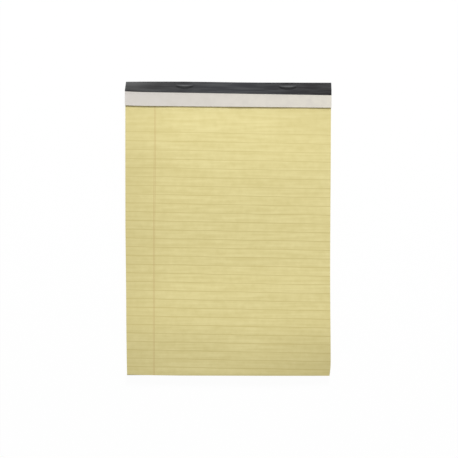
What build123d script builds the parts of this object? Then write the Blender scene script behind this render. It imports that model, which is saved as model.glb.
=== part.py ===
from build123d import *
from math import radians, tan
import os

# Ruled writing pad lying on its back, head towards +Y, writing side up.
# The origin is on the table, under the middle of the pad.

# Trimmed pad
pad_width = 210.0
pad_length = 300.0

# Backing board, squeezed at the head so that the tape lies flush in its underside
board_thick = 1.0
seat_clearance = 0.1

# The left side was trimmed out of square: it leans in from mid-length to the foot
left_trim_angle = 0.6

# Sheet block: its thickness under the binding, how far that flat zone reaches past the header
# strip, and how far the loose sheets swell above it
pressed_thick = 4.6
pressed_margin = 3.3
swell = 2.15

# The sheets shrank inside the trim. Towards the foot they follow the leaning left side, and they
# have slid a little to the right.
side_inset = 0.45
foot_inset = 0.4
left_draw = 1.9
right_slide = 0.35

# Sections of the free block, from the flat zone to the foot: place along it, swell at the side
# edges, swell along the middle, and shift of the sides. The sheets bulge below the binding, sag
# across the middle, and swell again above the foot.
section_shares = [
    (0.00, 0.00, 0.00, 0.00),
    (0.15, 0.40, 0.48, 0.00),
    (0.34, 0.28, 0.36, 0.00),
    (0.60, 0.06, 0.10, 0.20),
    (0.84, 0.92, 1.00, 0.60),
    (0.93, 0.72, 0.82, 0.80),
    (1.00, 0.32, 0.40, 1.00),
]

# Header strip: depth of its lower edge at mid-width, how far that edge is out of square,
# how far below the tape it leaves the top sheet, and how high it has lifted at the edge
strip_thick = 0.4
strip_depth = 24.6
strip_skew_angle = 0.42
lift_margin = 0.3
lift_rise = 0.4

# Binding tape: full width of the tape, front depth at mid-width, and how far out of square it went on
tape_thick = 0.2
tape_width = 30.0
tape_front_depth = 11.2
tape_skew_angle = 0.82
fold_radius = 0.2

# Head corners knocked in, seen from above
corner_run = 8.0
left_corner_angle = 8.0
right_corner_angle = 2.6

# Staples of flat wire: crown, gap between the clinched ends, how far the crown bites into the
# card, and their places across the pad
wire_width = 0.6
wire_thick = 0.45
crown_length = 13.0
clinch_gap = 4.0
bend_radius = 0.6
crown_bite = 0.1
clinch_recess = 0.02
wire_clearance = 0.05
staple_depth = 4.75
staple_shares = [-0.212, 0.288]

# Blisters of the tape over the crowns: how far the hollow reaches past the wire at the ends and
# at the sides, and how far the middle of its ellipsoid lies under the card's face
blister_end = 1.9
blister_side = 1.75
blister_drop = 0.35

# Overrun of the cutting bodies
overrun = 5.0

# Levels of the stack, from the table up
seat_floor = tape_thick
block_floor = board_thick
strip_floor = block_floor + pressed_thick
strip_top = strip_floor + strip_thick
stack_top = strip_top + tape_thick

# Lines across the pad
tape_head = pad_length / 2
layer_head = tape_head - tape_thick
foot = -pad_length / 2
sheet_foot = foot + foot_inset
free_start = tape_head - strip_depth - pressed_margin
lift_start = tape_head - tape_front_depth - pad_width / 2 * tan(radians(tape_skew_angle)) - lift_margin
staple_row = tape_head - staple_depth

sheet_width = pad_width - 2 * side_inset
tape_back_depth = tape_width - stack_top - tape_front_depth

# The hollow of a blister just clears the wire where the crown bends down into its legs
crown_half = crown_length / 2
crown_rise = wire_thick - crown_bite
hollow_half_length = crown_half + blister_end
hollow_half_width = wire_width / 2 + blister_side
bend_share = (crown_half - bend_radius) / hollow_half_length
side_share = wire_width / 2 / hollow_half_width
hollow_height_share = (1 - bend_share**2 - side_share**2) ** 0.5
hollow_half_height = (crown_rise + wire_clearance + blister_drop) / hollow_height_share
staple_places = [share * pad_width for share in staple_shares]


def slab(width, head_line, foot_line, floor, thick):
    """Flat layer of the pad between two lines across it."""
    layer = Box(width, head_line - foot_line, thick, align=(Align.CENTER, Align.MIN, Align.MIN))
    return Pos(0, foot_line, floor) * layer


def beyond_side(side, turn_line, angle):
    """Space outside a side that leans by an angle from a line across the pad, side -1 left and 1 right."""
    inner_face = Align.MIN if side > 0 else Align.MAX
    space = Box(overrun, 2 * pad_length, pad_length, align=(inner_face, Align.CENTER, Align.CENTER))
    return Pos(side * pad_width / 2, turn_line, 0) * Rot(0, 0, angle) * space


def knock_corners(layer):
    """Layer with both head corners knocked in, as all the layers have them."""
    turn_line = tape_head - corner_run
    layer -= beyond_side(-1, turn_line, -left_corner_angle)
    return layer - beyond_side(1, turn_line, right_corner_angle)


def staple_wire(place, room):
    """Flat wire from clinch to clinch, or, with room about it, the channel that it lies in."""
    crown_level = strip_top + crown_rise - wire_thick / 2
    clinch_level = seat_floor + clinch_recess + wire_thick / 2
    tip = clinch_gap / 2 - room
    path = FilletPolyline(
        (place - tip, staple_row, clinch_level),
        (place - crown_half, staple_row, clinch_level),
        (place - crown_half, staple_row, crown_level),
        (place + crown_half, staple_row, crown_level),
        (place + crown_half, staple_row, clinch_level),
        (place + tip, staple_row, clinch_level),
        radius=bend_radius,
    )
    start = Plane(origin=path @ 0, x_dir=(0, 1, 0), z_dir=path % 0)
    section = Rectangle(wire_width + 2 * room, wire_thick + 2 * room)
    return sweep(start * section, path=path)


def pierce(layer):
    """Layer with the channels that the staples pressed through it."""
    for place in staple_places:
        layer -= staple_wire(place, wire_clearance)
    return layer


def below_line(depth, angle, floor_align):
    """Space on the foot side of a slanted line, depth below the head at mid-width."""
    space = Box(
        pad_width + 2 * overrun,
        pad_length,
        pad_length,
        align=(Align.CENTER, Align.MAX, floor_align),
    )
    return Pos(0, tape_head - depth, block_floor + pressed_thick / 2) * Rot(0, 0, angle) * space


def backing_board():
    """Chipboard back with the seat of the tape, its head edge eased where the tape folds round it."""
    board = slab(pad_width, layer_head, foot, 0, board_thick)
    seat = slab(pad_width + 2 * overrun, tape_head, foot, -overrun, overrun + seat_floor)
    seat -= below_line(tape_back_depth + seat_clearance, tape_skew_angle, Align.CENTER)
    board -= seat
    head_edges = board.edges().filter_by(Axis.X).group_by(Axis.Y)[-1]
    board = fillet(head_edges.sort_by(Axis.Z)[0], fold_radius)
    board -= beyond_side(-1, 0, left_trim_angle)
    return knock_corners(pierce(board))


def block_section(place_share, edge_share, middle_share, shift_share):
    """Section across the sheets: flat below, upright sides, and a shallow crown on top."""
    place = free_start - place_share * (free_start - sheet_foot)
    left = shift_share * left_draw - sheet_width / 2
    right = sheet_width / 2 + shift_share * right_slide
    edge = pressed_thick + edge_share * swell
    middle = pressed_thick + middle_share * swell
    outline = [
        Line((left, 0), (right, 0)),
        Line((right, 0), (right, edge)),
        Bezier((right, edge), ((left + right) / 2, 2 * middle - edge), (left, edge)),
        Line((left, edge), (left, 0)),
    ]
    section_plane = Plane(origin=(0, place, block_floor), x_dir=(1, 0, 0), z_dir=(0, -1, 0))
    return section_plane * make_face(outline)


def sheet_block():
    """All the sheets as one body: pressed flat under the binding, swollen where they are free."""
    pressed = slab(sheet_width, layer_head, free_start, block_floor, pressed_thick)
    free = loft([block_section(*shares) for shares in section_shares])
    return knock_corners(pierce(pressed + free))


def header_strip():
    """Card strip, flat as far as the tape holds it, then curling up to its slanted free edge."""
    head_point = (0, layer_head, strip_floor)
    lift_point = (0, lift_start, strip_floor)
    reach_share = (lift_start - free_start) / (lift_start - tape_head + strip_depth)
    free_point = (0, free_start, strip_floor + lift_rise * reach_share**2)
    path = Line(head_point, lift_point) + TangentArc(lift_point, free_point, tangent=(0, -1, 0))
    section_plane = Plane(origin=head_point, x_dir=(1, 0, 0), z_dir=(0, -1, 0))
    section = Rectangle(pad_width, strip_thick, align=(Align.CENTER, Align.MIN))
    strip = sweep(section_plane * section, path=path)
    strip -= below_line(strip_depth, -strip_skew_angle, Align.CENTER)
    head_edges = strip.edges().filter_by(Axis.X).group_by(Axis.Y)[-1]
    strip = fillet(head_edges.sort_by(Axis.Z)[-1], fold_radius)
    return knock_corners(pierce(strip))


def lens(place, wall):
    """Ellipsoid about one staple crown, larger than the hollow by the given wall."""
    hollow = (hollow_half_length, hollow_half_width, hollow_half_height)
    half_sizes = tuple(half_size + wall for half_size in hollow)
    return Pos(place, staple_row, strip_top - blister_drop) * scale(Sphere(1), by=half_sizes)


def folded_tape():
    """Tape folded round the head, its inner face on the card, the sheets' ends and the board."""
    front_reach = tape_head - tape_width
    path = FilletPolyline(
        (0, front_reach, strip_top),
        (0, layer_head, strip_top),
        (0, layer_head, seat_floor),
        (0, front_reach, seat_floor),
        radius=fold_radius,
    )
    section_plane = Plane(origin=path @ 0, x_dir=(-1, 0, 0), z_dir=(0, 1, 0))
    section = Rectangle(pad_width, tape_thick, align=(Align.CENTER, Align.MIN))
    tape = sweep(section_plane * section, path=path)
    tape -= below_line(tape_front_depth, -tape_skew_angle, Align.MIN)
    return tape - below_line(tape_back_depth, tape_skew_angle, Align.MAX)


def binding_tape():
    """Folded tape with a hollow blister over each staple crown."""
    tape = folded_tape()
    above_card = slab(pad_width, tape_head, foot, strip_top, pad_length)
    for place in staple_places:
        tape += lens(place, tape_thick) & above_card
        tape -= lens(place, 0)
    return knock_corners(tape)


def wire_staples():
    """The two staples of the binding."""
    return Compound(children=[staple_wire(place, 0) for place in staple_places])


pieces = {
    "backing_board": backing_board(),
    "sheet_block": sheet_block(),
    "header_strip": header_strip(),
    "binding_tape": binding_tape(),
    "wire_staples": wire_staples(),
}

os.makedirs("parts", exist_ok=True)
for name, piece in pieces.items():
    export_step(piece, f"parts/{name}.step")
    size = piece.bounding_box().size
    print(f"{name}: {size.X:.2f} x {size.Y:.2f} x {size.Z:.2f} mm, {piece.volume:.1f} mm3")
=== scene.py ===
# %% [markdown]
# # A ruled writing pad
# The pad lies on its back: a chipboard back, fifty yellow sheets, a white card strip and a charcoal
# tape over two staples. The solid model gives every place and size, and this lesson gives the looks:
# sheets that swell and droop, edges that show each sheet, printed rules, and paper finishes.

# %% Load the solid model
import math

import bpy
import numpy as np
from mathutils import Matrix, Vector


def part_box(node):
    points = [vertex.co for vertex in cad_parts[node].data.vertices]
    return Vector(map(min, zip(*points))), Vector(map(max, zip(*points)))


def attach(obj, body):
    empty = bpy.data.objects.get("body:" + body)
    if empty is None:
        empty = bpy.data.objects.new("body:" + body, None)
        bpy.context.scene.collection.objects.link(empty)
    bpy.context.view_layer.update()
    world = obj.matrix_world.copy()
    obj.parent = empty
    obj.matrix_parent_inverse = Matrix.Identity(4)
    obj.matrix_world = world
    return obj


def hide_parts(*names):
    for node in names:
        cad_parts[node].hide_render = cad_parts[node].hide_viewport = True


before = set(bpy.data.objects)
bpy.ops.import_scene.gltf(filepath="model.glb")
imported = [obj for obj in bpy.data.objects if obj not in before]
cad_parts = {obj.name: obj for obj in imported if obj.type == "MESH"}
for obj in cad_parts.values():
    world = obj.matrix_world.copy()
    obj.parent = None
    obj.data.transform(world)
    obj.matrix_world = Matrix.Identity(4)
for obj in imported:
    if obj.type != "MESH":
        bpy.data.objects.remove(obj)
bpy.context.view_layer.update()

# %% [markdown]
# ## Places taken from the solids
# A pad is a stack, so a few levels and lines place everything. They could be typed in, but then a
# new trim size would break them, so they are read from the boxes of the solid pieces. Only what a
# box can't tell, such as the thickness of one sheet of card, is named here.

# %% Levels and lines of the stack
MM = 0.001

board_low, board_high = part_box("backing_board")
block_low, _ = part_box("sheet_block")
card_low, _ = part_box("header_strip")
_, tape_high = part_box("binding_tape")

half_width = board_high.x
foot = board_low.y
layer_head = board_high.y
tape_head = tape_high.y
tape_thick = tape_head - layer_head
sheet_half = -block_low.x
sheet_foot = block_low.y
block_floor = block_low.z
card_floor = card_low.z
card_thick = 0.4 * MM
card_top = card_floor + card_thick
tape_top = card_top + tape_thick
mid_length = (tape_head + foot) / 2
print(f"pad {2000 * half_width:.1f} x {1000 * (tape_head - foot):.1f} mm,",
      f"card at {1000 * card_floor:.2f} mm")

# %% [markdown]
# ## Knocked-in head corners
# The head corners of this pad are knocked in a little, more at the left. They could be cut off each
# piece in turn, but every layer shares that outline, so one function gives how far a side draws in
# at a given place along the pad.

# %% Outline of the head corners
corner_run = 8.0 * MM
left_corner = math.tan(math.radians(8.0))
right_corner = math.tan(math.radians(2.6))


def corner_draw(y, side):
    """How far a side lies inside the trim: a straight taper over the last run up to the head."""
    taper = np.where(np.asarray(side) < 0, left_corner, right_corner)
    return taper * np.clip(np.asarray(y) - (tape_head - corner_run), 0, None)


print(f"left corner in by {1000 * float(corner_draw(tape_head, -1)):.2f} mm")

# %% [markdown]
# ## From grids to pieces
# Paper, card and tape are all thin sheets: an outer and an inner surface a little apart, closed
# along the rim. Blender's Solidify could thicken one surface, but it rounds the shading over the
# rim. Building both surfaces as grids of points keeps the rim crisp and the mesh closed.

# %% Mesh helpers
sharp_turn = math.radians(40)


def grid_cells(number):
    """Quads of a grid of point numbers, facing up where rows run footwards and columns rightwards."""
    corners = (number[:-1, :-1], number[1:, :-1], number[1:, 1:], number[:-1, 1:])
    return np.stack(corners, axis=-1).reshape(-1, 4)


def closed_sheet(outer, inner):
    """Points and quads of the shell between two grids: the outer face, the inner face and the rim."""
    rows, columns = outer.shape[:2]
    number = np.arange(rows * columns).reshape(rows, columns)
    loop = np.concatenate([number[0, :-1], number[:-1, -1], number[-1, :0:-1], number[:0:-1, 0]])
    after = np.roll(loop, -1)
    rim = np.stack([loop, after, after + number.size, loop + number.size], axis=-1)
    turned = grid_cells(number + number.size)[:, ::-1]
    points = np.concatenate([outer.reshape(-1, 3), inner.reshape(-1, 3)])
    return points, np.concatenate([grid_cells(number), turned, rim])


def make_piece(name, points, quads, finishes, finish_of_quad=None):
    """A mesh object at the origin, smooth but for edges that turn sharply."""
    mesh = bpy.data.meshes.new(name)
    mesh.from_pydata(points.tolist(), [], quads.tolist())
    for finish in finishes:
        mesh.materials.append(finish)
    if finish_of_quad is not None:
        mesh.polygons.foreach_set("material_index", finish_of_quad.astype(np.int32))
    mesh.polygons.foreach_set("use_smooth", np.ones(len(mesh.polygons), bool))
    mesh.set_sharp_from_angle(angle=sharp_turn)
    mesh.validate()
    piece = bpy.data.objects.new(name, mesh)
    bpy.context.scene.collection.objects.link(piece)
    print(f"{name}: {len(points)} points, {2 * len(quads)} triangles")
    return piece


def dress(piece, slot, *nodes):
    """Hang a finished piece on the pad's one body, in place of the named solids."""
    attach(piece, "root")
    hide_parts(*nodes)


print("a grid of 3 by 4 points gives", len(grid_cells(np.arange(12).reshape(3, 4))), "quads")

# %% [markdown]
# ## Colours and nodes
# Every finish below is a small node tree. Colours are written as the hex values that a picture
# shows and turned to the linear values that light is counted in. One function adds a node, sets
# its fields and links its inputs, so that each tree reads as a list of what it does. Colours could
# be mixed one by one in each tree, but all of these are coats over a ground, so a loop lays them.

# %% Node helpers
def linear(code):
    """Linear red, green, blue and alpha of an sRGB hex colour, by the sRGB transfer curve."""
    shares = np.array([int(code[i:i + 2], 16) for i in (1, 3, 5)]) / 255
    curve = np.where(shares <= 0.04045, shares / 12.92, ((shares + 0.055) / 1.055) ** 2.4)
    return (*curve.tolist(), 1.0)


def new_finish(name):
    """A material with its tree and its shader, ready to be wired."""
    print("finish", name)
    finish = bpy.data.materials.new(name)
    finish.use_nodes = True
    return finish, finish.node_tree, finish.node_tree.nodes["Principled BSDF"]


def feed(tree, node, inputs):
    """Link each socket that is given to the node's input, and set each plain value on it."""
    for socket, value in inputs.items():
        if isinstance(value, bpy.types.NodeSocket):
            tree.links.new(value, node.inputs[socket])
        else:
            node.inputs[socket].default_value = value


def add(tree, kind, inputs=None, **fields):
    """One new node: fields set its options, and its inputs are fed."""
    node = tree.nodes.new(kind)
    for field, value in fields.items():
        setattr(node, field, value)
    feed(tree, node, inputs or {})
    return node


def coats(tree, tone, *layers):
    """Socket of a tone under layers of colour, each mixed over what lies below it by its share. A Mix
    node of colours takes the share in socket 0 and the colours in 6 and 7, and gives socket 2."""
    for share, colour in layers:
        mixed = add(tree, "ShaderNodeMix", {0: share, 6: tone, 7: linear(colour)}, data_type="RGBA")
        tone = mixed.outputs[2]
    return tone


def per_metre(size):
    """Texture scale for a feature of a size, or of three sizes along the axes: one over the metres."""
    return (1 / np.asarray(size)).tolist()


def streaks(tree, place, sizes, detail):
    """Socket of a noise drawn out along the axes: its features have the three sizes."""
    along = add(tree, "ShaderNodeMapping", {"Vector": place, "Scale": per_metre(sizes)})
    noise = add(tree, "ShaderNodeTexNoise",
                {"Vector": along.outputs[0], "Scale": 1.0, "Detail": detail})
    return noise.outputs[0]


print("mid grey is", [round(value, 3) for value in linear("#808080")[:3]], "in linear light")

# %% [markdown]
# ## Yellow bond paper
# Cheap writing bond is dyed in the pulp, so the colour runs right through and the surface is matt.
# Fibres clump into clouds, and the paper machine draws them out into streaks, which run across this
# pad. Shade is painted into the sheet along the left side, less so at the foot, and towards the right
# corners. A scan could give all that, but of one sheet only. Here one noise makes the clouds, a
# stretched one the streaks and a fine one the tooth, and the painted shade follows the place. Real
# fibres are finer than the picture, so a streak is drawn three millimetres wide, and the tooth half
# a millimetre.

# %% Painted shade on the sheets
# Painted shade: darker towards the left side, less at the foot, and towards the right corners.
left_shade_from = -0.5 * half_width
left_shade_share = 0.26
left_shade_fade = 60 * MM
left_shade_at_foot = 0.4
corner_shade_share = 0.36
corner_shade_reach = 85 * MM


def painted_shade_share(tree, place):
    """Socket of the shade painted on a sheet: a share that grows to the left side and is less
    at the foot, plus one that grows evenly to the two right corners. Folding the sheet at mid-length
    lays one corner on the other, so one distance serves both."""
    split = add(tree, "ShaderNodeSeparateXYZ", {"Vector": place})
    side = add(tree, "ShaderNodeMapRange",
               {"Value": split.outputs["X"], "From Min": left_shade_from, "From Max": -half_width,
                "To Max": left_shade_share})
    foot_fade = add(tree, "ShaderNodeMapRange",
               {"Value": split.outputs["Y"], "From Min": foot, "From Max": foot + left_shade_fade,
                "To Min": left_shade_at_foot})
    left_shade = add(tree, "ShaderNodeMath", {0: side.outputs[0], 1: foot_fade.outputs[0]}, operation="MULTIPLY")
    off_middle = add(tree, "ShaderNodeMath", {0: split.outputs["Y"], 1: mid_length},
                     operation="SUBTRACT")
    to_end = add(tree, "ShaderNodeMath", {0: off_middle.outputs[0]}, operation="ABSOLUTE")
    folded = add(tree, "ShaderNodeCombineXYZ", {"X": split.outputs["X"], "Y": to_end.outputs[0]})
    corner = (half_width, tape_head - mid_length, 0)
    away = add(tree, "ShaderNodeVectorMath", {0: folded.outputs[0], 1: corner}, operation="DISTANCE")
    lifted = add(tree, "ShaderNodeMapRange",
                 {"Value": away.outputs["Value"], "From Min": corner_shade_reach, "From Max": 0.0,
                  "To Max": corner_shade_share})
    both = add(tree, "ShaderNodeMath", {0: left_shade.outputs[0], 1: lifted.outputs[0]}, operation="ADD")
    return both.outputs[0]


print(f"corners darkened within {1000 * corner_shade_reach:.0f} mm")

# %% Tone of the sheets
paper_light = "#E1D599"
paper_dark = "#D6C98B"
# This tone is painted shade.
paper_painted_shade = "#BFB175"
cloud_size = 7 * MM
streak_size = (45 * MM, 2.8 * MM, 2.8 * MM)
streak_weight = 1.6
tone_middle = 0.5 * (1 + streak_weight)
tone_reach = 0.4


def paper_tone(tree):
    """Sockets of the place on a sheet and of its colour there: the clouds plus the weighted streaks go
    from the dark to the light tone, and the painted shade tone lies over that by its share."""
    place = add(tree, "ShaderNodeTexCoord").outputs["Object"]
    clouds = add(tree, "ShaderNodeTexNoise",
                 {"Vector": place, "Scale": per_metre(cloud_size), "Detail": 3.0})
    drawn = streaks(tree, place, streak_size, detail=2.0)
    both = add(tree, "ShaderNodeMath", {0: drawn, 1: streak_weight, 2: clouds.outputs[0]},
               operation="MULTIPLY_ADD")
    share = add(tree, "ShaderNodeMapRange",
                {"Value": both.outputs[0], "From Min": tone_middle - tone_reach,
                 "From Max": tone_middle + tone_reach})
    tone = coats(tree, linear(paper_dark), (share.outputs[0], paper_light),
                 (painted_shade_share(tree, place), paper_painted_shade))
    return place, tone


print(f"streaks {1000 * streak_size[0]:.0f} x {1000 * streak_size[1]:.1f} mm over",
      f"clouds of {1000 * cloud_size:.0f} mm")

# %% Finish of the sheets
tooth_size = 0.5 * MM
tooth_height = 0.02 * MM
tooth_strength = 0.4


def paper_tooth(tree, place):
    """Socket of the normal of an uncoated sheet: a bump over a noise of the tooth's size."""
    tooth = add(tree, "ShaderNodeTexNoise",
                {"Vector": place, "Scale": per_metre(tooth_size), "Detail": 2.0})
    relief = add(tree, "ShaderNodeBump",
                 {"Height": tooth.outputs[0], "Distance": tooth_height, "Strength": tooth_strength})
    return relief.outputs[0]


def bond_paper():
    """Uncoated dyed bond: cloudy, streaked and quite rough."""
    finish, tree, shader = new_finish("yellow_bond_paper")
    place, tone = paper_tone(tree)
    feed(tree, shader, {"Base Color": tone, "Normal": paper_tooth(tree, place),
                        "Roughness": 0.82, "Specular IOR Level": 0.3})
    return finish


yellow_paper = bond_paper()

# %% [markdown]
# ## Ruling inks
# The rules are printed with thin, watery ink that sinks into the paper and spreads a little. The
# lines across are a faint grey that takes on the yellow, and they get fainter towards the head. The
# margin is a pair of faint red lines. An ink could be a colour of its own, but a thin ink lets the
# paper's clouds through, so each is the paper's own tone mixed with its colour.

# %% Finishes of the printed rules
ink_patch = 0.15


def ruling_ink(name, colour, cover, cover_at_head):
    """Ink soaked into the sheet: a colour over the paper's tone. Its cover goes evenly from mid-length
    to the head, more or less by a noise where the paper took more or less of it."""
    finish, tree, shader = new_finish(name)
    place, tone = paper_tone(tree)
    split = add(tree, "ShaderNodeSeparateXYZ", {"Vector": place})
    inked = add(tree, "ShaderNodeMapRange",
                {"Value": split.outputs["Y"], "From Min": mid_length, "From Max": tape_head,
                 "To Min": cover, "To Max": cover_at_head})
    patches = add(tree, "ShaderNodeTexNoise",
                  {"Vector": place, "Scale": per_metre(cloud_size), "Detail": 2.0})
    patchy = add(tree, "ShaderNodeMapRange",
                 {"Value": patches.outputs[0], "To Min": -ink_patch, "To Max": ink_patch})
    share = add(tree, "ShaderNodeMath", {0: inked.outputs[0], 1: patchy.outputs[0]}, operation="ADD")
    soaked = coats(tree, tone, (share.outputs[0], colour))
    feed(tree, shader, {"Base Color": soaked, "Roughness": 0.8, "Specular IOR Level": 0.3})
    return finish


line_ink = ruling_ink("grey_ruling_ink", "#B7A663", cover=0.4, cover_at_head=0.24)
margin_ink = ruling_ink("red_ruling_ink", "#BC9B63", cover=0.66, cover_at_head=0.66)

# %% [markdown]
# ## How the free sheets lie
# Under the binding the sheets are pressed flat. Below it they are loose: they bulge where pages have
# been lifted, sag across the middle, swell again and fall off to the foot. The right foot corner
# droops, and the foot edge curls down. A sheet could be sculpted by eye, but long waves like these
# are what shade a page in soft light, so the height is a smooth curve through a few stations, with a
# slight slanting wave, and lower towards the sides.

# %% Height of the free sheets
station_depths = np.array([28, 46, 68, 120, 192, 224, 256, 280, 300]) * MM
station_rises = np.array([0, 0.45, 1.0, 0.75, 0.1, 1.25, 2.5, 2.0, 0.9]) * MM
full_swell = 1 * MM
side_drop = 0.35 * MM
side_power = 4
wave_height = 0.12 * MM
wave_length = 95 * MM
wave_slant = 260 * MM
corner_droop = 0.7 * MM
droop_run = 60 * MM
edge_curl = 0.2 * MM
curl_run = 3 * MM


def through_stations(depths, rises, at):
    """Cubic Hermite curve through the stations, with the slope at each taken from its neighbours."""
    slopes = np.gradient(rises, depths)
    slopes[0] = 0
    span = np.clip(np.searchsorted(depths, at) - 1, 0, len(depths) - 2)
    gap = depths[span + 1] - depths[span]
    t = np.clip((at - depths[span]) / gap, 0, 1)
    start = (1 + 2 * t) * (1 - t) ** 2 * rises[span] + t * (1 - t) ** 2 * gap * slopes[span]
    end = t ** 2 * (3 - 2 * t) * rises[span + 1] + t ** 2 * (t - 1) * gap * slopes[span + 1]
    return start + end


def sheet_rise(x, y):
    """Height of the top sheet over its pressed level: the long curve plus a slanting sine wave, less a
    drop with the fourth power of the way to the sides, a droop with the square of the nearness to the
    right foot corner, and a curl with the square of the nearness to the foot edge."""
    depth = tape_head - y
    rise = through_stations(station_depths, station_rises, depth)
    swollen = np.clip(rise / full_swell, 0, 1)
    side = (np.abs(x) / sheet_half) ** side_power * side_drop * swollen
    wave = wave_height * np.sin(2 * np.pi * (depth / wave_length + x / wave_slant)) * swollen
    off_corner = np.hypot((x - sheet_half) / droop_run, (y - sheet_foot) / droop_run)
    droop = corner_droop * np.clip(1 - off_corner, 0, None) ** 2
    curl = edge_curl * np.clip(1 - (y - sheet_foot) / curl_run, 0, 1) ** 2
    return np.clip(rise - side + wave - droop - curl, 0, None)


middle_rise = sheet_rise(np.zeros(300), np.linspace(foot, tape_head, 300))
print(f"highest sheet {1000 * float(middle_rise.max()):.2f} mm up")

# %% [markdown]
# ## Rows and columns of the print
# The top sheet carries the print. A printed line could be a texture, but lines less than a
# millimetre wide would blur when it is baked, so the sheet's grid is laid along the print instead:
# two rows of points bound each line, and two columns bound each margin rule. The faces between them
# take the ink. The lines stand a little closer together towards the foot.

# %% Rows of the print
line_count = 28
first_line_depth = 51.5 * MM
line_pitch = 8.893 * MM
line_closing = 0.06
line_width = 0.8 * MM
rows_between = np.array([0.25, 0.5, 0.75])
head_rows, foot_rows = 22, 6

line = np.arange(line_count)
closed_up = line_closing / 2 * (line - line ** 2 / (line_count - 1))
line_centres = tape_head - first_line_depth - line_pitch * (line + closed_up)
clear = -np.diff(line_centres, append=line_centres[-1] - line_pitch) - line_width
edge_rows = line_centres[:, None] + np.array([0.5, -0.5]) * line_width
clear_rows = edge_rows[:, 1:] - clear[:, None] * rows_between
line_rows = np.concatenate([edge_rows, clear_rows], axis=1).reshape(-1)[:-len(rows_between)]
head_shares = np.linspace(1, 0, head_rows)[:-1]
foot_shares = np.linspace(0, 1, foot_rows)[1:]
print(f"{line_count} lines about {1000 * line_pitch:.2f} mm apart,",
      f"last {1000 * (line_centres[-1] - foot):.1f} mm from the foot")

# %% Columns of the print
margin_place = 29.3 * MM - sheet_half
margin_gap = 1.3 * MM
margin_width = 0.36 * MM
margin_lean = math.tan(math.radians(0.55))
columns_left, columns_right = 14, 74

rule_centres = margin_place + np.array([-0.5, 0.5]) * margin_gap
rule_edges = (rule_centres[:, None] + np.array([-0.5, 0.5]) * margin_width).reshape(-1)
left_columns = np.linspace(-sheet_half, rule_edges[0], columns_left)[:-1]
right_columns = np.linspace(rule_edges[-1], sheet_half, columns_right)[1:]
column_places = np.concatenate([left_columns, rule_edges, right_columns])
leaning = np.interp(column_places, [-sheet_half, margin_place, sheet_half], [0, 1, 0])
column_leans = margin_lean * leaning
print(f"{len(column_places)} columns,",
      f"margin {1000 * (margin_place + sheet_half):.1f} mm from the left")

# %% [markdown]
# ## Outline of a sheet
# The pad was trimmed out of square, so its left side leans in to the foot. Handling has moved the
# sheets too: towards the foot the upper ones stretch to the right, their right foot corner is rounded,
# their foot edges step back, and the left foot corner is rubbed shorter. Each sheet could be moved on
# its own, but the shift grows up the stack, so the outline takes a level instead, from 0 at the board
# to 1 at the top sheet.

# %% Outline of a sheet
left_trim = math.tan(math.radians(0.6))
slide = 1.1 * MM
slide_from = 150 * MM
slide_to = 285 * MM
corner_round = 1.1 * MM
round_run = 14 * MM
foot_batter = 0.15 * MM
rubbed_corner = 0.8 * MM
rubbed_from = 0.4


def sheet_outline(across, y, level):
    """Place across a sheet, for a share from -1 at its left edge to 1 at its right: that share of the
    trimmed half width, moved right by a square that grows footwards, less one at the corner."""
    depth = tape_head - y
    moved = np.clip((depth - slide_from) / (slide_to - slide_from), 0, 1) ** 2
    rounding = np.clip((depth - (tape_head - sheet_foot - round_run)) / round_run, 0, 1) ** 2
    trimmed = np.where(across < 0, left_trim, 0) * np.clip(mid_length - y, 0, None)
    to_right = (1 + across) / 2
    moved_right = level * to_right * (slide * moved - corner_round * rounding)
    return across * (sheet_half - trimmed - corner_draw(y, across)) + moved_right


def foot_edge(across, level):
    """Place of a sheet's foot edge: it steps back with the level, more by a square to the left."""
    rubbed = np.clip((-across - rubbed_from) / (1 - rubbed_from), 0, 1) ** 2
    return sheet_foot + level * (foot_batter + rubbed_corner * rubbed)


left_foot = float(sheet_outline(np.array(-1.0), sheet_foot, 1.0))
print(f"left foot corner of the top sheet {1000 * (left_foot + sheet_half):.2f} mm inside the trim")

# %% [markdown]
# ## The top sheet
# The print went on askew: the lines lean and wander a little, while the sheet's own head and foot
# don't. The sheet could be cut out of a leaning grid, but that leaves ragged faces. Here the rows
# follow the lines, and the rows before the first and after the last line turn from their lean to the
# sheet's edge.

# %% Grid of the top sheet
head_lean = math.tan(math.radians(0.93))
foot_lean = math.tan(math.radians(0.9))
wobble = 0.1 * MM
wobble_count = 1.26
wobble_slip = 18
ripple = 0.09 * MM
ripple_length = 37 * MM
ripple_slip = 97


def print_grid():
    """Points where rows and columns cross, on the swollen surface of the top sheet. A printed row has
    its place, less its lean times the place across, plus two sine waves that slip from line to line."""
    places = np.concatenate([np.full(len(head_shares), line_rows[0]), line_rows,
                             np.full(len(foot_shares), line_rows[-1])])[:, None]
    to_head = np.concatenate([head_shares, np.zeros(len(line_rows) + len(foot_shares))])[:, None]
    to_foot = np.concatenate([np.zeros(len(head_shares) + len(line_rows)), foot_shares])[:, None]
    across = (column_places[None, :] + column_leans[None, :] * (places - mid_length)) / sheet_half
    down = (tape_head - places) / (tape_head - foot)
    lean = head_lean + (foot_lean - head_lean) * down
    wave = wobble * np.sin(2 * np.pi * across * wobble_count + wobble_slip * down)
    wave = wave + ripple * np.sin(2 * np.pi * across * sheet_half / ripple_length + ripple_slip * down)
    printed = places - lean * across * sheet_half + wave
    y = printed + to_head * (layer_head - printed) + to_foot * (foot_edge(across, 1.0) - printed)
    x = sheet_outline(across, y, 1.0)
    return np.stack([x, y, card_floor + sheet_rise(x, y)], axis=-1)


top_points = print_grid()
print(f"top sheet of {top_points.shape[0]} rows and {top_points.shape[1]} columns")

# %% Top sheet
sheet_thick = 0.092 * MM
PLAIN, LINE, RULE = 0, 1, 2

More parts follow.
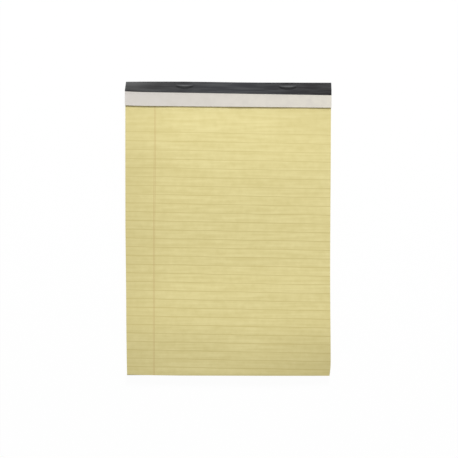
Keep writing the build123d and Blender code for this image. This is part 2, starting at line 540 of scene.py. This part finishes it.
points, quads = closed_sheet(top_points, top_points - np.array([0, 0, sheet_thick]))
inked_rows = len(head_shares) + (2 + len(rows_between)) * np.arange(line_count)
inked_columns = len(left_columns) + np.array([0, 2])
row_is_line = np.isin(np.arange(top_points.shape[0] - 1), inked_rows)
column_is_rule = np.isin(np.arange(top_points.shape[1] - 1), inked_columns)
ink = np.where(column_is_rule[None, :], RULE, np.where(row_is_line[:, None], LINE, PLAIN)).reshape(-1)
rim_ink = np.full(len(quads) - 2 * len(ink), PLAIN)
top_sheet = make_piece("top_sheet", points, quads, [yellow_paper, line_ink, margin_ink],
                       np.concatenate([ink, ink, rim_ink]))
dress(top_sheet, "yellow_paper", "sheet_block")

# %% [markdown]
# ## Cut edges
# A guillotine leaves the edges of the sheets as fine lines, some a little darker where dust sits.
# The darker streaks are also painted shade where a sheet stands back. The edge of each sheet could
# have a colour of its own, but streaks that run along the edge look the same: a noise stretched far
# along the pad and only a few sheets high.
# Single sheets are finer than the picture, so a streak is drawn as thick as seven or eight of them.

# %% Finish of the cut edges
edge_light = "#E0D298"
# The dark tone is dust and painted shade.
edge_dust_and_shade = "#B3A56C"
edge_streak = (110 * MM, 110 * MM, 0.7 * MM)
dark_below, light_above = 0.4, 0.55


def cut_edges():
    """Paper seen edge-on: streaks along the edge between a dark tone, dust and painted shade, and a
    light tone.
    """
    finish, tree, shader = new_finish("cut_paper_edges")
    place = add(tree, "ShaderNodeTexCoord").outputs["Object"]
    dust_and_shade = streaks(tree, place, edge_streak, detail=3.0)
    share = add(tree, "ShaderNodeMapRange",
                {"Value": dust_and_shade, "From Min": dark_below, "From Max": light_above})
    tone = coats(tree, linear(edge_dust_and_shade), (share.outputs[0], edge_light))
    feed(tree, shader, {"Base Color": tone, "Roughness": 0.9, "Specular IOR Level": 0.2})
    return finish


paper_edges = cut_edges()

# %% [markdown]
# ## The stack of sheets
# From the side a pad is fifty cut edges, never quite flush. They could be fifty thin boxes, but one
# wall that follows the outline and steps in and out at every sheet has far fewer faces. Each sheet
# gets its own small shift, so the wall looks jogged by hand and not milled.

# %% Places on the stack
sheet_count = 50
top_level = 1 - 1 / sheet_count
swell_power = 1.5
side_cells = 76
end_cells = 56


def ring_outline():
    """Shares once round the outline: across from -1 to 1, along from 0 at the head to 1 at the foot."""
    down = np.arange(side_cells) / side_cells
    over = np.arange(end_cells) / end_cells
    across = np.concatenate([-np.ones(side_cells), 2 * over - 1, np.ones(side_cells), 1 - 2 * over])
    along = np.concatenate([down, np.ones(end_cells), 1 - down, np.zeros(end_cells)])
    return across, along


def on_stack(across, along, level, side_in, foot_in):
    """Point of the stack: the outline, drawn in, at the level's share of the pressed height plus a
    power of the level times the swell."""
    y = layer_head + along * (foot_edge(across, level) + foot_in - layer_head)
    x = sheet_outline(across, y, level) - across * side_in
    z = block_floor + level * (card_floor - block_floor) + level ** swell_power * sheet_rise(x, y)
    return np.stack(np.broadcast_arrays(x, y, z), axis=-1)


print(f"{sheet_count} sheets, {len(ring_outline()[0])} points round each")

# %% Wall of the stack
shift_each = 0.015 * MM
shift_drift = 0.045 * MM
shift_limit = 0.3 * MM
lips = (0.05, 0.95)
draws = np.random.default_rng(11)


def jog(count):
    """Shift of every sheet into the stack: a slow drift up the pile with a small jump at each sheet."""
    drift = np.cumsum(draws.normal(0, shift_drift, count))
    drift = drift - np.linspace(drift[0], drift[-1], count)
    return np.clip(drift + draws.normal(0, shift_each, count), 0, shift_limit)


def stack_wall():
    """Rings of points up the stack: two for each sheet, at the lower and the upper lip of its edge."""
    across, along = ring_outline()
    sheet = np.repeat(np.arange(sheet_count - 1), len(lips))
    lip = np.tile(lips, sheet_count - 1)
    level = ((sheet + lip) / (sheet_count - 1) * top_level)[:, None]
    left, right, end = (jog(sheet_count)[sheet][:, None] for _ in range(3))
    side_in = np.where(across < 0, left, right)
    return on_stack(across[None, :], along[None, :], level, side_in, end)


wall = stack_wall()
print(f"wall of {wall.shape[0]} rings, {1000 * np.ptp(wall[..., 2]):.2f} mm high")

# %% [markdown]
# ## Closing the stack
# The wall is open above and below. One large face could close each end, but it can't follow the
# swell. A grid with the wall's own points along its rim does, and keeps the stack one solid skin.
# The upper grid lies just under the top sheet.

# %% Stack with its two ends
def end_grid(ring, first_new):
    """Point numbers of an end: the ring's points round the rim, new points inside it."""
    grid = np.zeros((side_cells + 1, end_cells + 1), int)
    left, bottom, right, top = np.split(ring, np.cumsum([side_cells, end_cells, side_cells]))
    grid[:-1, 0], grid[-1, :-1], grid[:0:-1, -1], grid[0, :0:-1] = left, bottom, right, top
    inside = grid[1:-1, 1:-1]
    inside[:] = first_new + np.arange(inside.size).reshape(inside.shape)
    return grid


rings, around = wall.shape[:2]
number = np.arange(rings * around).reshape(rings, around)
ahead = np.roll(number, -1, axis=1)
wall_quads = np.stack([number[:-1], ahead[:-1], ahead[1:], number[1:]], axis=-1).reshape(-1, 4)
inner_across = (2 * np.arange(1, end_cells) / end_cells - 1)[None, :]
inner_along = (np.arange(1, side_cells) / side_cells)[:, None]
floor_points = on_stack(inner_across, inner_along, 0.0, 0.0, 0.0).reshape(-1, 3)
roof_points = on_stack(inner_across, inner_along, top_level, 0.0, 0.0).reshape(-1, 3)
floor_quads = grid_cells(end_grid(number[0], number.size))[:, ::-1]
roof_quads = grid_cells(end_grid(number[-1], number.size + len(floor_points)))
stack_points = np.concatenate([wall.reshape(-1, 3), floor_points, roof_points])
stack_quads = np.concatenate([wall_quads, floor_quads, roof_quads])
on_end = np.arange(len(stack_quads)) >= len(wall_quads)
sheet_stack = make_piece("sheet_stack", stack_points, stack_quads, [paper_edges, yellow_paper], on_end)
dress(sheet_stack, "yellow_paper", "sheet_block")

# %% [markdown]
# ## White card
# The strip across the head is uncoated card: grey-white, with the soft clouds of recycled stock. It
# is painted a little lighter and warmer to the right, as painted light. One colour would look like
# plastic, so clouds are mixed over a tone that changes along the strip, and the card shares the
# paper's tooth.

# %% Finish of the card
card_left = "#CAC5C0"
# The right tone is lighter: painted light.
card_right_painted_light = "#D3CEC2"
card_dark = "#C7C2BA"
card_cloud = 9 * MM
cloudy_from, cloudy_full = 0.4, 0.8


def plain_card():
    """Uncoated card: off-white with painted light to the right, soft darker clouds and a faint tooth.
    """
    finish, tree, shader = new_finish("uncoated_white_card")
    place = add(tree, "ShaderNodeTexCoord").outputs["Object"]
    clouds = add(tree, "ShaderNodeTexNoise",
                 {"Vector": place, "Scale": per_metre(card_cloud), "Detail": 4.0})
    cloudy = add(tree, "ShaderNodeMapRange",
                 {"Value": clouds.outputs[0], "From Min": cloudy_from, "From Max": cloudy_full})
    split = add(tree, "ShaderNodeSeparateXYZ", {"Vector": place})
    to_right = add(tree, "ShaderNodeMapRange",
                   {"Value": split.outputs["X"], "From Min": -half_width, "From Max": half_width})
    tone = coats(tree, linear(card_left), (to_right.outputs[0], card_right_painted_light),
                 (cloudy.outputs[0], card_dark))
    feed(tree, shader, {"Base Color": tone, "Normal": paper_tooth(tree, place),
                        "Roughness": 0.75, "Specular IOR Level": 0.35})
    return finish


white_card = plain_card()

# %% [markdown]
# ## Shape of the strip
# The strip is flat as far as the tape holds it, then curls up to its lower edge. The gap under that
# edge is what draws the dark line below it. The edge isn't cut quite square, it ripples a little, and
# its left end bends back. A bent plane could be cut to that outline, but a grid between a head line
# and a lower edge takes lean, bend and ripple as plain sums.

# %% Card strip
card_depth = 24.6 * MM
card_lean = math.tan(math.radians(0.42))
head_clear = 0.1 * MM
lift_depth = 12.5 * MM
card_lift = 0.5 * MM
lift_power = 1.3
long_ripple, long_wave, long_phase = 0.22, 118 * MM, 0.6
short_ripple, short_wave = 0.08, 41 * MM
end_bow = 0.5 * MM
bow_run = 25 * MM


def bowed_end(x):
    """How far the lower edges of card and tape bend back to the head: a parabola at the left end."""
    return end_bow * np.clip(1 - (x + half_width) / bow_run, 0, None) ** 2


def card_surface(rows=34, columns=106):
    """Top face of the strip: flat, then rising with a power of the way from the tape to the leaning
    lower edge, times one plus two sine ripples along the strip."""
    across = np.linspace(-1, 1, columns)[None, :]
    along = np.linspace(0, 1, rows)[:, None]
    head_line = layer_head - head_clear
    edge = tape_head - card_depth - across * half_width * card_lean + bowed_end(across * half_width)
    y = head_line + along * (edge - head_line)
    x = across * (half_width - corner_draw(y, across))
    reach = np.clip((tape_head - lift_depth - y) / (tape_head - lift_depth - edge), 0, 1)
    flutter = 1 + long_ripple * np.sin(2 * np.pi * x / long_wave + long_phase)
    flutter = flutter + short_ripple * np.sin(2 * np.pi * x / short_wave)
    return np.stack([x, y, card_top + card_lift * flutter * reach ** lift_power], axis=-1)


card_face = card_surface()
card_points, card_quads = closed_sheet(card_face, card_face - np.array([0, 0, card_thick]))
header_card = make_piece("header_card", card_points, card_quads, [white_card])
dress(header_card, "white_card", "header_strip")

# %% [markdown]
# ## Charcoal binding tape
# The tape is gummed paper with a fine embossed grain, dyed charcoal. It goes from a warm grey at the
# left over blue-grey to nearly black at the right; the lighter left end is painted sheen. Handling has
# rubbed it in streaks. A painted highlight lies on the fold at the left end and along the crests of
# the blisters. A mask image could place it, but here it follows from the place: how near to the fold,
# and how high above the flat tape. The gum leaves the surface slightly satin. The real grain is finer
# than the picture, so it is drawn 0.6 mm wide.

# %% Painted highlights of the tape
ridge_height = 1.25 * MM
highlight_from, highlight_full, fold_highlight_share = -0.7 * half_width, -0.9 * half_width, 0.4
fold_highlight_run = 9 * MM
fold_highlight_low = 0.4 * tape_top
crest_highlight_from = 0.6 * ridge_height
crest_highlight_share = 0.5


def painted_highlight(tree, split):
    """Socket of the painted highlight on the tape: the product of a share to the left end, one to the
    fold and one to the top of it, plus a share near the crests of the blisters."""
    at_left = add(tree, "ShaderNodeMapRange",
                  {"Value": split.outputs["X"], "From Min": highlight_from, "From Max": highlight_full,
                   "To Max": fold_highlight_share})
    at_fold = add(tree, "ShaderNodeMapRange",
                  {"Value": split.outputs["Y"], "From Min": tape_head - fold_highlight_run,
                   "From Max": tape_head})
    at_top = add(tree, "ShaderNodeMapRange",
                 {"Value": split.outputs["Z"], "From Min": fold_highlight_low, "From Max": tape_top})
    crest = add(tree, "ShaderNodeMapRange",
                {"Value": split.outputs["Z"], "From Min": tape_top + crest_highlight_from,
                 "From Max": tape_top + ridge_height, "To Max": crest_highlight_share})
    left_fold = add(tree, "ShaderNodeMath", {0: at_left.outputs[0], 1: at_fold.outputs[0]},
                    operation="MULTIPLY")
    highlight = add(tree, "ShaderNodeMath",
               {0: left_fold.outputs[0], 1: at_top.outputs[0], 2: crest.outputs[0]},
               operation="MULTIPLY_ADD")
    return highlight.outputs[0]


# The crests carry a painted highlight from this height up.
print(f"crests rubbed from {1000 * crest_highlight_from:.2f} mm above the flat tape")

# %% Finish of the tape
# The lighter left end and the darker right end are painted sheen over the charcoal.
tape_left_sheen = "#343332"
tape_middle = "#37383B"
tape_right = "#252324"
# This light tone makes the rubbed streaks and the painted highlights.
tape_rubbed_and_lit = "#7A7C7C"
middle_from, middle_to = -0.2 * half_width, 0.1 * half_width
rub_size = (30 * MM, 3 * MM, 3 * MM)
rub_from, rub_full, rub_share = 0.4, 0.75, 0.25
satin_least, satin_most = 0.62, 0.8
grain_size = 0.6 * MM
grain_height = 0.05 * MM


def embossed_tape():
    """Dyed tape: three tones along its length as painted sheen, rubbed streaks, painted highlights and
    a fine grain.
    """
    finish, tree, shader = new_finish("charcoal_embossed_tape")
    place = add(tree, "ShaderNodeTexCoord").outputs["Object"]
    split = add(tree, "ShaderNodeSeparateXYZ", {"Vector": place})
    to_middle = add(tree, "ShaderNodeMapRange",
                    {"Value": split.outputs["X"], "From Min": -half_width, "From Max": middle_from})
    to_right = add(tree, "ShaderNodeMapRange",
                   {"Value": split.outputs["X"], "From Min": middle_to, "From Max": half_width})
    rubs = streaks(tree, place, rub_size, detail=4.0)
    rubbed = add(tree, "ShaderNodeMapRange",
                 {"Value": rubs, "From Min": rub_from, "From Max": rub_full, "To Max": rub_share})
    tone = coats(tree, linear(tape_left_sheen), (to_middle.outputs[0], tape_middle),
                 (to_right.outputs[0], tape_right), (rubbed.outputs[0], tape_rubbed_and_lit),
                 (painted_highlight(tree, split), tape_rubbed_and_lit))
    grain = add(tree, "ShaderNodeTexNoise",
                {"Vector": place, "Scale": per_metre(grain_size), "Detail": 2.0})
    relief = add(tree, "ShaderNodeBump",
                 {"Height": grain.outputs[0], "Distance": grain_height, "Strength": 0.5})
    satin = add(tree, "ShaderNodeMapRange",
                {"Value": rubs, "To Min": satin_least, "To Max": satin_most})
    feed(tree, shader, {"Base Color": tone, "Normal": relief.outputs[0],
                        "Roughness": satin.outputs[0], "Specular IOR Level": 0.15})
    return finish


charcoal_tape = embossed_tape()

# %% [markdown]
# ## Blisters over the staples
# The tape can't lie flat over the wire, so it stands up in a blister over each staple's crown: a
# steep short flank to the head, a long one to the foot and a sharp crest between them. A bump in the
# finish would vanish from the side. Here each blister is a height over the tape, worked out for any
# place on it.

# %% Blisters over the staples
crown_span = 13.45 * MM
ridge_half_length = 8.8 * MM
ridge_head_width = 1.0 * MM
ridge_foot_width = 3.0 * MM
ridge_offset = 0.65 * MM
ridge_power = 0.35
crest_round = 0.15
wire_low, wire_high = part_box("wire_staples")
staple_row = (wire_low.y + wire_high.y) / 2
staple_places = (wire_low.x + crown_span / 2, wire_high.x - crown_span / 2)


def blister(x, y):
    """Ridge over each crown: two straight flanks meet in a rounded straight crest, and the flank to the
    foot is widest at mid-length. Its section is 1 + c less the root of t squared plus c squared, t the
    share of a flank's width and c the share of it that rounds the crest."""
    total = 0
    from_crest = y - staple_row - ridge_offset
    for place in staple_places:
        length = np.clip(1 - ((x - place) / ridge_half_length) ** 2, 0, None)
        to_foot = ridge_head_width + (ridge_foot_width - ridge_head_width) * length
        away = from_crest / np.where(from_crest > 0, ridge_head_width, to_foot)
        section = np.clip(1 + crest_round - np.hypot(away, crest_round), 0, None)
        total = total + ridge_height * length ** ridge_power * section
    return total


print("staples at", [round(1000 * place, 1) for place in staple_places], "mm")

# %% [markdown]
# ## Shape of the tape
# The tape goes from the back, round the head and onto the front. It isn't drawn tight: at the left its
# upper fold stands off the head, and beside each staple it stands up a little. The front edge is
# pressed down, leans, and bends back at its left end. A bent strip could be sculpted to that. Here
# it is a profile of two flaps, two folds and a spine, carried across the pad, and each departure is
# one more term in it.

# %% Slack of the fold
stand_off = 0.75 * MM
stand_place = -62 * MM
stand_run = 95 * MM
fold_rise = 0.5 * MM
rise_run = 12 * MM


def fold_slack(x):
    """How far the fold stands off the head: the square of a parabola round one place."""
    return stand_off * np.clip(1 - ((x - stand_place) / stand_run) ** 2, 0, None) ** 2


def fold_lift(x):
    """How far the fold stands up beside a staple: the square of a parabola over each crown."""
    humps = [np.clip(1 - ((x - place) / rise_run) ** 2, 0, None) ** 2 for place in staple_places]
    return fold_rise * sum(humps)


print(f"fold off the head by up to {1000 * float(fold_slack(stand_place)):.2f} mm")

# %% Tape
tape_front_depth = 11.2 * MM
tape_back_depth = 12.6 * MM
tape_lean = math.tan(math.radians(0.82))
fold_radius = 0.4 * MM
edge_press = 0.12 * MM
press_run = 1.8 * MM
settle_run = 2.8 * MM
even_columns, staple_columns, staple_reach = 80, 58, 10
bend_rows, flat_rows, front_rows = 7, 12, 62

even_places = np.linspace(-half_width, half_width, even_columns)
near_staple = np.linspace(-staple_reach, staple_reach, staple_columns) * MM
near_places = [place + near_staple for place in staple_places]
tape_columns = np.unique(np.concatenate([even_places, *near_places]))


def tape_surface(depth):
    """The tape's profile at a depth below its outer face: back flap, fold, spine, fold and front flap.
    The folds are quarter circles. The front flap sinks from the lifted fold to the card with the square
    of the way, carries the blisters, and its outer face is pressed down to the edge by a square too."""
    x = tape_columns[None, :]
    bend = np.linspace(0, np.pi / 2, bend_rows)[:, None]
    flat = np.linspace(0, 1, flat_rows)[:, None]
    front = np.linspace(0, 1, front_rows)[1:, None]
    slack, lift = fold_slack(x), fold_lift(x)
    lower_line = tape_head - fold_radius
    upper_line = lower_line + slack
    low, high = fold_radius, tape_top - fold_radius + lift
    reach = fold_radius - depth
    back_edge = tape_head - tape_back_depth + x * tape_lean
    front_edge = tape_head - tape_front_depth - x * tape_lean + bowed_end(x)
    front_y = upper_line + front * (front_edge - upper_line)
    settled = np.clip(1 - (upper_line - front_y) / settle_run, 0, None) ** 2
    press = edge_press if depth == 0 else 0
    pressed = press * np.clip(1 - (front_y - front_edge) / press_run, 0, None) ** 2
    profile = [
        (back_edge + flat * (lower_line - back_edge), depth),
        (lower_line + reach * np.sin(bend[1:]), low - reach * np.cos(bend[1:])),
        (tape_head - depth + flat[1:-1] * slack, low + flat[1:-1] * (high - low)),
        (upper_line + reach * np.cos(bend), high + reach * np.sin(bend)),
        (front_y, tape_top - depth + blister(x, front_y - slack) + lift * settled - pressed)]
    sections = [np.stack(np.broadcast_arrays(x, y, z), axis=-1) for y, z in profile]
    surface = np.concatenate(sections)
    surface[..., 0] = x / half_width * (half_width - corner_draw(surface[..., 1], x))
    return surface


tape_points, tape_quads = closed_sheet(tape_surface(0.0), tape_surface(tape_thick))
head_tape = make_piece("head_tape", tape_points, tape_quads, [charcoal_tape])
dress(head_tape, "charcoal_tape", "binding_tape")

# %% [markdown]
# ## Chipboard back
# The back is grey chipboard: waste paper pulped again, so it is grey-brown with short pale and dark
# flecks of fibre. A new mesh could be made for it, but the solid's shape is right as it is and only
# needs that finish. Clouds make the uneven pulp, and a fine noise, cut off high and low, makes the
# flecks. Real flecks are finer than the picture, so they are drawn about two millimetres long.

# %% Finish of the board
board_light = "#9F9889"
board_dark = "#938C7C"
pulp_size = 11 * MM
pulp_from, pulp_full = 0.3, 0.7
fleck_size = 1.8 * MM
fleck_height = 0.04 * MM
# Each fleck has a colour, the noise at which it starts and is full, and its cover there.
fleck_kinds = (("#C4BEB0", 0.6, 0.7, 0.6), ("#5E574B", 0.4, 0.3, 0.5))


def chipboard():
    """Recycled board: cloudy pulp with pale and dark flecks, quite rough."""
    finish, tree, shader = new_finish("grey_chipboard")
    place = add(tree, "ShaderNodeTexCoord").outputs["Object"]
    pulp = add(tree, "ShaderNodeTexNoise",
               {"Vector": place, "Scale": per_metre(pulp_size), "Detail": 5.0})
    cloudy = add(tree, "ShaderNodeMapRange",
                 {"Value": pulp.outputs[0], "From Min": pulp_from, "From Max": pulp_full})
    tone = coats(tree, linear(board_dark), (cloudy.outputs[0], board_light))
    flecks = add(tree, "ShaderNodeTexNoise",
                 {"Vector": place, "Scale": per_metre(fleck_size), "Detail": 3.0})
    for colour, start, full, cover in fleck_kinds:
        share = add(tree, "ShaderNodeMapRange",
                    {"Value": flecks.outputs[0], "From Min": start, "From Max": full, "To Max": cover})
        tone = coats(tree, tone, (share.outputs[0], colour))
    relief = add(tree, "ShaderNodeBump",
                 {"Height": flecks.outputs[0], "Distance": fleck_height, "Strength": 0.5})
    feed(tree, shader, {"Base Color": tone, "Normal": relief.outputs[0],
                        "Roughness": 0.88, "Specular IOR Level": 0.3})
    return finish


grey_board = chipboard()

# %% [markdown]
# ## Staple wire
# The staples are flat drawn steel, galvanised. They sit inside the binding, where only a cut would
# show them. One flat colour would do unseen, but faint lines along the wire, as the die leaves them,
# make it read as drawn metal in a cut too.

# %% Finishes of the carried-over solids
wire_dull = "#B4B6B8"
wire_bright = "#C9CACB"
wire_line = (8 * MM, 0.1 * MM, 0.1 * MM)
rough_least, rough_most = 0.25, 0.5


def galvanised_wire():
    """Drawn and galvanised steel: a metal whose colour and roughness run in fine lines."""
    finish, tree, shader = new_finish("galvanised_steel_wire")
    place = add(tree, "ShaderNodeTexCoord").outputs["Object"]
    lines = streaks(tree, place, wire_line, detail=2.0)
    rough = add(tree, "ShaderNodeMapRange",
                {"Value": lines, "To Min": rough_least, "To Max": rough_most})
    tone = coats(tree, linear(wire_dull), (lines, wire_bright))
    feed(tree, shader, {"Base Color": tone, "Roughness": rough.outputs[0], "Metallic": 1.0})
    return finish


for node, finish in (("backing_board", grey_board), ("wire_staples", galvanised_wire())):
    for material_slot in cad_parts[node].material_slots:
        material_slot.material = finish
    print(node, "takes", finish.name)

# %% [markdown]
# ## White table
# The pad lies on a white table that fades into white. More light could bleach the table, but it
# would bleach the pad too. So to the camera and to reflections the table is mostly plain white, with
# a share of its own matt surface that keeps the pad's shadow.

# %% White table
table_half = 3.0
table_drop = 0.05 * MM
table_grey = 0.95
white_share = 0.96
white = linear("#FFFFFF")


def seen_rays(tree):
    """Socket that is 1 for rays that see: from the camera, a gloss or a glass, and else 0."""
    rays = add(tree, "ShaderNodeLightPath").outputs
    seen = add(tree, "ShaderNodeMath", {0: rays["Is Camera Ray"], 1: rays["Is Glossy Ray"]},
               operation="MAXIMUM")
    seen = add(tree, "ShaderNodeMath", {0: seen.outputs[0], 1: rays["Is Transmission Ray"]},
               operation="MAXIMUM")
    return seen.outputs[0]


def white_table():
    """Matt white that the camera and reflections see as mostly even white."""
    finish, tree, shader = new_finish("matt_white_table")
    feed(tree, shader, {"Base Color": (table_grey, table_grey, table_grey, 1), "Roughness": 0.9})
    share = add(tree, "ShaderNodeMath", {0: seen_rays(tree), 1: white_share}, operation="MULTIPLY")
    even = add(tree, "ShaderNodeEmission", {"Color": white, "Strength": 1.0})
    mix = add(tree, "ShaderNodeMixShader",
              {0: share.outputs[0], 1: shader.outputs[0], 2: even.outputs[0]})
    feed(tree, tree.nodes["Material Output"], {"Surface": mix.outputs[0]})
    return finish


ends = np.linspace(-table_half, table_half, 2)
table_grid = np.stack(np.broadcast_arrays(ends[None, :], ends[::-1][:, None], -table_drop), axis=-1)
table_quads = grid_cells(np.arange(4).reshape(2, 2))
table = make_piece("table", table_grid.reshape(-1, 3), table_quads, [white_table()])

# %% [markdown]
# ## Lamp and room
# One large soft lamp stands low beyond the head, a little to the right, in an even white room. A lamp
# overhead would flatten the pad, and a low one brings out the waves of the sheets and the blisters.
# The lamp's power is worked out from its distance and height so that it gives a flat white sheet its
# share of full white. The room gives the rest, and is plain white to the camera.

# %% Lamp and room
room_light = 0.4
lamp_share = 0.6
lamp_distance = 2.2
lamp_height = math.radians(30)
lamp_turn = math.radians(6)
lamp_size = 0.5

lamp_data = bpy.data.lights.new("soft_lamp", "AREA")
lamp_data.size = lamp_size
lamp_data.energy = lamp_share * math.pi ** 2 * lamp_distance ** 2 / math.sin(lamp_height)
lamp_place = lamp_distance * np.array([
    math.cos(lamp_height) * math.sin(lamp_turn), math.cos(lamp_height) * math.cos(lamp_turn),
    math.sin(lamp_height)])
lamp = bpy.data.objects.new("soft_lamp", lamp_data)
lamp.location = lamp_place.tolist()
lamp.rotation_euler = (math.pi / 2 - lamp_height, 0, math.pi - lamp_turn)
bpy.context.scene.collection.objects.link(lamp)

room = bpy.data.worlds.new("white_room")
room.use_nodes = True
bpy.context.scene.world = room
room_level = add(room.node_tree, "ShaderNodeMapRange",
                 {"Value": seen_rays(room.node_tree), "To Min": room_light, "To Max": 1.0})
feed(room.node_tree, room.node_tree.nodes["Background"],
     {"Color": white, "Strength": room_level.outputs[0]})
print(f"lamp of {lamp_data.energy:.0f} W, room {room_light}")

# %% [markdown]
# ## Camera
# The picture looks straight down on the pad from about a metre, from a little towards the head, so
# the foot end is slightly smaller. A flat view without perspective would be simpler, but the real
# one tapers. The aim is a millimetre to the right of the pad's middle, and the camera is turned a
# fraction of a degree.

# %% Camera
camera_distance = 1.104
camera_lean = math.radians(2.0)
camera_roll = math.radians(0.14)
aim_point = (1.15 * MM, 1.0 * MM, card_floor)

camera_data = bpy.data.cameras.new("camera")
camera_data.lens = 85
camera_data.sensor_width = 36
camera = bpy.data.objects.new("camera", camera_data)
to_camera = np.array([0, math.sin(camera_lean), math.cos(camera_lean)])
camera.location = (np.array(aim_point) + camera_distance * to_camera).tolist()
camera.rotation_euler = (-camera_lean, 0, 0)
camera.rotation_euler.rotate_axis("Z", camera_roll)
bpy.context.scene.collection.objects.link(camera)
bpy.context.scene.camera = camera
bpy.context.scene.view_settings.view_transform = "Standard"
print("camera at", [round(value, 3) for value in camera.location])
